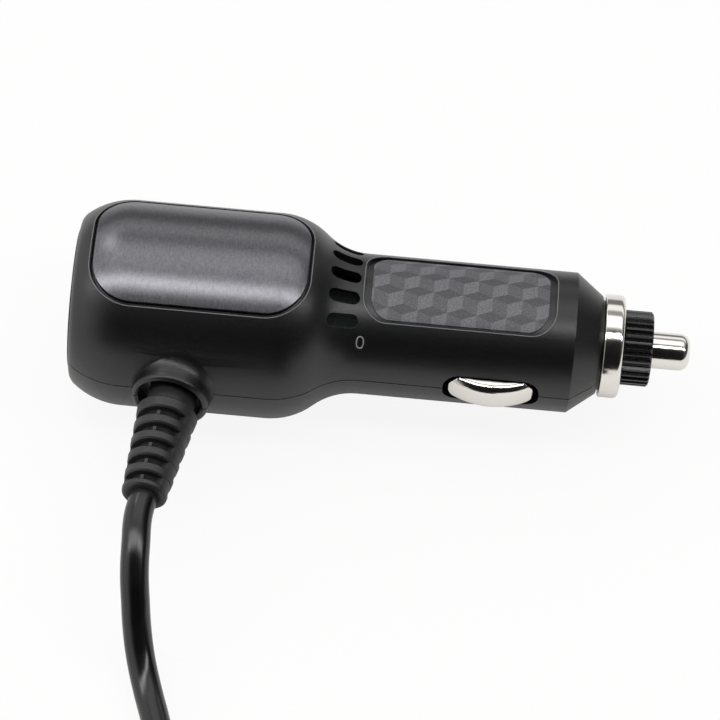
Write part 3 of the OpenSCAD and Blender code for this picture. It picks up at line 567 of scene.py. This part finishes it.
def smooth_curves(node):
    """Shades a piece's curves as smooth and leaves its edges sharp, with its points where they are."""
    sharp_from = math.radians(25)
    same_point = 1e-6
    group = bpy.data.node_groups.new("smooth_curves", "GeometryNodeTree")
    group.interface.new_socket("Geometry", in_out="INPUT", socket_type="NodeSocketGeometry")
    group.interface.new_socket("Geometry", in_out="OUTPUT", socket_type="NodeSocketGeometry")
    source = add_node(group, "NodeGroupInput")
    joined = add_node(group, "GeometryNodeMergeByDistance", {"Geometry": source.outputs[0],
                                                                "Distance": same_point})
    angle = add_node(group, "GeometryNodeInputMeshEdgeAngle")
    sharp = add_node(group, "FunctionNodeCompare", {"A": angle.outputs["Unsigned Angle"], "B": sharp_from},
                     operation="GREATER_THAN")
    settings = {"Mesh": joined.outputs[0], "Remove Custom": True, "Edge Sharpness": sharp.outputs[0]}
    shaded = add_node(group, "GeometryNodeSetMeshNormal", settings, mode="SHARPNESS")
    add_node(group, "NodeGroupOutput", {0: shaded.outputs[0]})
    modifier = node.modifiers.new("smooth_curves", "NODES")
    modifier.node_group = group


def housing_radius(x):
    """Radius of the housing's outer surface at a place along the plug, as the CAD has it."""
    shoulder_len, shoulder_r = 0.0082, 0.0115
    head_len, bulge_r = 0.0293, 0.0106
    neck_angle = 2 * math.atan((HEAD_R - BARREL_R) / (NECK_END - head_len))
    hollow_r = (NECK_END - head_len) / math.sin(neck_angle) - bulge_r
    if x < shoulder_len:
        return HEAD_R - shoulder_r + math.sqrt(shoulder_r ** 2 - (shoulder_len - x) ** 2)
    if x < head_len:
        return HEAD_R
    if x < head_len + bulge_r * math.sin(neck_angle):
        return HEAD_R - bulge_r + math.sqrt(bulge_r ** 2 - (x - head_len) ** 2)
    return BARREL_R + hollow_r - math.sqrt(hollow_r ** 2 - max(0.0, NECK_END - x) ** 2)


def add_lip(name, start, end, width, corner):
    """Fine glossy bead round a recess, light grey on the black housing: a painted highlight that stands for
    the recess edge catching the light as a thin line.
    """
    beyond = 0.00018
    bead_r = 0.00007
    longest = 0.001
    corner_steps = 12
    turn = math.radians(2.5)
    start -= beyond
    end += beyond
    half_w = width / 2 + beyond
    corner += beyond
    corners = [(end - corner, half_w - corner, 0), (start + corner, half_w - corner, 90),
               (start + corner, corner - half_w, 180), (end - corner, corner - half_w, 270)]
    outline = []
    for centre_x, centre_y, first in corners:
        for k in range(corner_steps + 1):
            angle = math.radians(first + 90 * k / corner_steps)
            outline.append((centre_x + corner * math.cos(angle), centre_y + corner * math.sin(angle)))
    dense = []
    for (ax, ay), (bx, by) in zip(outline, outline[1:] + outline[:1]):
        pieces = max(1, int(math.hypot(bx - ax, by - ay) / longest))
        dense += [(ax + (bx - ax) * k / pieces, ay + (by - ay) * k / pieces) for k in range(pieces)]
    curve = bpy.data.curves.new(name, "CURVE")
    curve.dimensions = "3D"
    curve.bevel_depth = bead_r
    curve.bevel_resolution = 2
    spline = curve.splines.new("POLY")
    spline.points.add(len(dense) - 1)
    spline.use_cyclic_u = True
    for point, (x, y) in zip(spline.points, dense):
        z = math.sqrt(housing_radius(x) ** 2 - y * y)
        point.co = (x, y * math.cos(turn) + z * math.sin(turn), z * math.cos(turn) - y * math.sin(turn), 1)
    add_object(name, curve, highlight_lip_abs, "plug")


def add_numeral():
    """A small printed 0 on the barrel, beside the vents."""
    centre_x = 0.0422
    angle = math.radians(52)
    half_w, half_h = 0.0006, 0.00095
    stroke = 0.0002
    film_height = 0.00003
    neck_hollow_r = 0.00968
    steps = 48
    mesh = bpy.data.meshes.new("printed_numeral")
    shape = bmesh.new()
    rings = []
    for inset in (0, stroke):
        ring = []
        for k in range(steps):
            turn = 2 * math.pi * k / steps
            along = (half_w - inset) * math.copysign(abs(math.cos(turn)) ** 0.8, math.cos(turn))
            around = (half_h - inset) * math.copysign(abs(math.sin(turn)) ** 0.9, math.sin(turn))
            up_neck = max(0.0, NECK_END - centre_x - along)
            radius = BARREL_R + film_height + up_neck ** 2 / (2 * neck_hollow_r)
            place = angle - around / BARREL_R
            point = (centre_x + along, -radius * math.sin(place), radius * math.cos(place))
            ring.append(shape.verts.new(point))
        rings.append(ring)
    join_rings(shape, rings)
    bmesh.ops.recalc_face_normals(shape, faces=shape.faces)
    shape.to_mesh(mesh)
    shape.free()
    numeral = add_object("printed_numeral", mesh, mark_ink, "plug")
    solid = numeral.modifiers.new("thickness", "SOLIDIFY")
    solid.thickness = film_height
    solid.offset = -1


def add_tie():
    """Hook-and-loop strap round the coil, its end pressed down on top."""
    angle = math.radians(40)
    outward = Vector((math.cos(angle), math.sin(angle), 0))
    sideways = Vector((-math.sin(angle), math.cos(angle), 0))
    thick = 0.0007
    half_w = 0.0035
    corner = 0.0024
    corner_steps = 8
    gap = 0.00005
    # Its loop round the coil's section, by distance from the coil's middle and by height
    near, far = 0.01506, 0.02855
    bottom, top = FLOOR_Z + thick / 2, COIL_TOP + thick / 2 + gap
    corners = [((far - corner, top - corner), 90, 0), ((far - corner, bottom + corner), 0, -90),
               ((near + corner, bottom + corner), -90, -180), ((near + corner, top - corner), 180, 90)]
    lap_start, lap_end = near + 0.004, far - 0.0015
    outline = [((lap_start, top), (0, 1))]
    for (r, z), start, end in corners:
        for k in range(corner_steps + 1):
            a = math.radians(start + (end - start) * k / corner_steps)
            outline.append(((r + corner * math.cos(a), z + corner * math.sin(a)), (math.cos(a), math.sin(a))))
    # The end rises over the start and lies on the loop
    ramp = [(near + 0.0035, 0.0), (near + 0.005, thick * 0.6), (near + 0.0065, thick), (lap_end, thick)]
    outline += [((r, top + rise), (0, 1)) for r, rise in ramp]
    path = []
    for (r, z), (nr, nz) in outline:
        place = Vector((COIL_CENTRE.x, COIL_CENTRE.y, 0)) + r * outward + Vector((0, 0, z))
        path.append((place, sideways, nr * outward + Vector((0, 0, nz))))
    edge = thick * 0.3
    section = [(-half_w, -edge), (-half_w + edge, -thick / 2), (half_w - edge, -thick / 2), (half_w, -edge),
               (half_w, edge), (half_w - edge, thick / 2), (-half_w + edge, thick / 2), (-half_w, edge)]
    tie = sweep("coil_strap", path, section, strap_nylon, "plug")
    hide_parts("coil_tie")
    return tie


def add_grip():
    """Connector grip: a soft block with rounded sides, finger ribs and a tapered neck for the lead."""
    half_w, half_h = 0.0056, 0.003
    lead_fit = LEAD_R + 0.0003
    # Distance, half width, half height, and squareness of the outline, where 2 is round
    sections = [(-GRIP_NECK, lead_fit, lead_fit, 2.0), (-0.0035, 0.0024, 0.0024, 2.0),
                (-0.0012, 0.0027, 0.0026, 2.0), (-0.0003, 0.0036, 0.00265, 2.4),
                (0.0004, 0.0049, 0.00275, 3.2), (0.0012, 0.0055, 0.0029, 3.8), (0.002, half_w, half_h, 4.0)]
    grooves = 5
    groove_first, groove_pitch, groove_depth = 0.004, 0.0018, 0.00035
    groove_half, bottom_half = 0.0005, 0.0002
    for i in range(grooves):
        middle = groove_first + i * groove_pitch
        sections += [(middle - groove_half, half_w, half_h, 4.0),
                     (middle - bottom_half, half_w - groove_depth, half_h, 4.0),
                     (middle + bottom_half, half_w - groove_depth, half_h, 4.0),
                     (middle + groove_half, half_w, half_h, 4.0)]
    sections += [(GRIP_LEN - 0.0012, half_w, half_h, 4.0),
                 (GRIP_LEN - 0.0004, half_w - 0.0003, half_h - 0.0003, 4.0),
                 (GRIP_LEN, half_w - 0.0009, half_h - 0.0009, 4.0)]
    mesh = bpy.data.meshes.new("connector_grip_moulding")
    shape = bmesh.new()
    steps = 48
    rings = []
    for distance, w, h, squareness in sections:
        ring = []
        for k in range(steps):
            turn = 2 * math.pi * k / steps
            y = w * math.copysign(abs(math.cos(turn)) ** (2 / squareness), math.cos(turn))
            z = h * math.copysign(abs(math.sin(turn)) ** (2 / squareness), math.sin(turn))
            ring.append(shape.verts.new((GRIP_X + distance, GRIP_Y + y, GRIP_Z + z)))
        rings.append(ring)
    join_rings(shape, rings)
    shape.faces.new(rings[0])
    shape.faces.new(rings[-1])
    bmesh.ops.recalc_face_normals(shape, faces=shape.faces)
    shape.to_mesh(mesh)
    shape.free()
    grip = add_object("connector_grip_moulding", mesh, relief_pvc, "plug")
    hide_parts("connector_grip")
    return grip


def add_winding():
    """Copper wire wound round the inductor's core, between its two rims."""
    low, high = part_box("power_inductor")
    centre_x, centre_y = (low.x + high.x) / 2, (low.y + high.y) / 2
    rim = 0.0008
    inner, outer = 0.0027, 0.00355
    turns = 7
    wire_steps = 6
    bottom, top = low.z + rim, high.z - rim
    wire = (top - bottom) / turns
    profile = []
    for i in range(turns):
        for k in range(wire_steps + 1):
            a = math.pi * k / wire_steps
            height = bottom + wire * (i + 0.5) - wire / 2 * math.cos(a)
            profile.append((height, outer - wire / 2 + wire / 2 * math.sin(a)))
    profile = [(bottom, inner)] + profile + [(top, inner)]
    winding = lathe("inductor_winding", profile, 40, copper_wire, "plug")
    winding.data.transform(Matrix.Translation((centre_x, centre_y, 0)))


# Making
add_camera()
lead = add_lead()
tie = add_tie()
grip = add_grip()
add_fuse_spring()
add_numeral()
add_winding()
add_ground_spring("near", -1)
add_ground_spring("far", 1)
for name in ("upper_shell", "lower_shell", "head_inlay", "barrel_inlay", "nose_ring", "centre_pin",
             "near_side_contact", "far_side_contact", "strain_relief"):
    smooth_curves(nodes[name])
add_lip("head_recess_lip", start=0.0026, end=0.0343, width=0.0194, corner=0.0062)
add_lip("barrel_recess_lip", start=0.0423, end=0.07, width=0.0121, corner=0.0033)


def add_floor():
    """Matt white table. The camera, metal and glass see it as white paper, and it keeps the shadows."""
    half = 2.0
    mesh = bpy.data.meshes.new("table")
    corners = [(-half, -half, FLOOR_Z), (half, -half, FLOOR_Z), (half, half, FLOOR_Z), (-half, half, FLOOR_Z)]
    mesh.from_pydata(corners, [], [(0, 1, 2, 3)])
    floor = bpy.data.objects.new("table", mesh)
    scene.collection.objects.link(floor)
    material, tree, coordinates = start_material("matt_white_table")
    colour = tint(tree, noise(tree, coordinates, 40 * MM), "#f1f1ef", "#f4f4f2")
    paper = add_node(tree, "ShaderNodeBsdfDiffuse", {"Color": colour})
    glow = add_node(tree, "ShaderNodeEmission", {"Color": linear("#ffffff"), "Strength": 1.0})
    rays = add_node(tree, "ShaderNodeLightPath").outputs
    camera_share, mirror_share = 0.9, 0.3
    direct = calc(tree, "MAXIMUM", rays["Is Camera Ray"], rays["Is Transmission Ray"])
    direct_share = calc(tree, "MULTIPLY", direct, camera_share)
    glossy_share = calc(tree, "MULTIPLY", rays["Is Glossy Ray"], mirror_share)
    share = calc(tree, "MAXIMUM", direct_share, glossy_share)
    surface = add_node(tree, "ShaderNodeMixShader", {0: share, 1: paper.outputs[0], 2: glow.outputs[0]})
    add_node(tree, "ShaderNodeOutputMaterial", {"Surface": surface.outputs[0]})
    mesh.materials.append(material)


def add_softbox(name, direction, distance, size, radiance, target=(0.045, 0, 0)):
    """A rectangular soft light that faces a target on the plug. Its first size runs along the plug."""
    data = bpy.data.lights.new(name, "AREA")
    data.shape = "RECTANGLE"
    data.size, data.size_y = size
    data.energy = radiance * math.pi * size[0] * size[1]
    light = bpy.data.objects.new(name, data)
    back = Vector(direction).normalized()
    right = Vector((0, 1, 0)).cross(back).normalized()
    up = back.cross(right)
    place = Matrix.Translation(Vector(target) + distance * back)
    light.matrix_world = place @ Matrix((right, up, back)).transposed().to_4x4()
    scene.collection.objects.link(light)


# Brightness of the room by the angle from straight up, in degrees, with the front positive
ROOM = [(-180, 0.8), (-95, 0.8), (-88, 0.2), (-71, 0.2), (-67, 1.1), (-52, 1.1), (-48, 0.35), (-38, 0.35),
        (-34, 0.8), (-7, 0.8), (-1, 0.3), (4, 0.01), (18, 0.01), (21, 0.15), (24, 0.01), (92, 0.01),
        (100, 0.8), (180, 0.8)]


def add_world():
    """A room with bright panels above and behind, a dark front, a light left wall and a dark right one."""
    full = 2.0
    left_level, right_level = 1.1, 0.06
    world = bpy.data.worlds.new("studio")
    world.use_nodes = True
    tree = world.node_tree
    tree.nodes.clear()
    direction = add_node(tree, "ShaderNodeTexCoord").outputs["Generated"]
    part = add_node(tree, "ShaderNodeSeparateXYZ", {"Vector": direction})
    forward = calc(tree, "MULTIPLY", part.outputs["Y"], -1.0)
    angle = calc(tree, "ARCTAN2", forward, part.outputs["Z"])
    turn = spread(tree, angle, source=(-math.pi, math.pi))
    bands = add_node(tree, "ShaderNodeFloatCurve", {"Value": turn})
    curve = bands.mapping.curves[0]
    for i, (degrees, level) in enumerate(ROOM):
        x = (degrees + 180) / 360
        if i in (0, len(ROOM) - 1):
            curve.points[0 if i == 0 else -1].location = (x, level / full)
        else:
            curve.points.new(x, level / full)
    for point in curve.points:
        point.handle_type = "VECTOR"
    bands.mapping.update()
    middle = calc(tree, "MULTIPLY", bands.outputs[0], full)
    left = spread(tree, part.outputs["X"], source=(-0.5, -0.85))
    right = spread(tree, part.outputs["X"], source=(0.55, 0.85))
    level = blend(tree, right, blend(tree, left, middle, left_level), right_level)
    sky = add_node(tree, "ShaderNodeBackground", {"Color": linear("#fdfdfd"), "Strength": level})
    add_node(tree, "ShaderNodeOutputWorld", {"Surface": sky.outputs["Background"]})
    scene.world = world


def over(degrees):
    """Direction at this angle from straight up, with the front positive."""
    return 0, -math.sin(math.radians(degrees)), math.cos(math.radians(degrees))


add_floor()
add_softbox("overhead_softbox", over(-20), distance=0.7, size=(0.9, 0.36), radiance=0.6)
add_softbox("strip_over_head", over(13), distance=0.45, size=(0.826, 0.08), radiance=6.5,
            target=(-0.337, 0, 0))
add_softbox("strip_beyond_tip", over(13), distance=0.45, size=(0.65, 0.08), radiance=6.5,
            target=(0.425, 0, 0))
add_softbox("left_softbox", (-0.46, 0.59, 0.66), distance=0.7, size=(0.17, 0.17), radiance=2.5,
            target=(0.015, -0.04, 0))
add_world()
scene.view_settings.view_transform = "Standard"
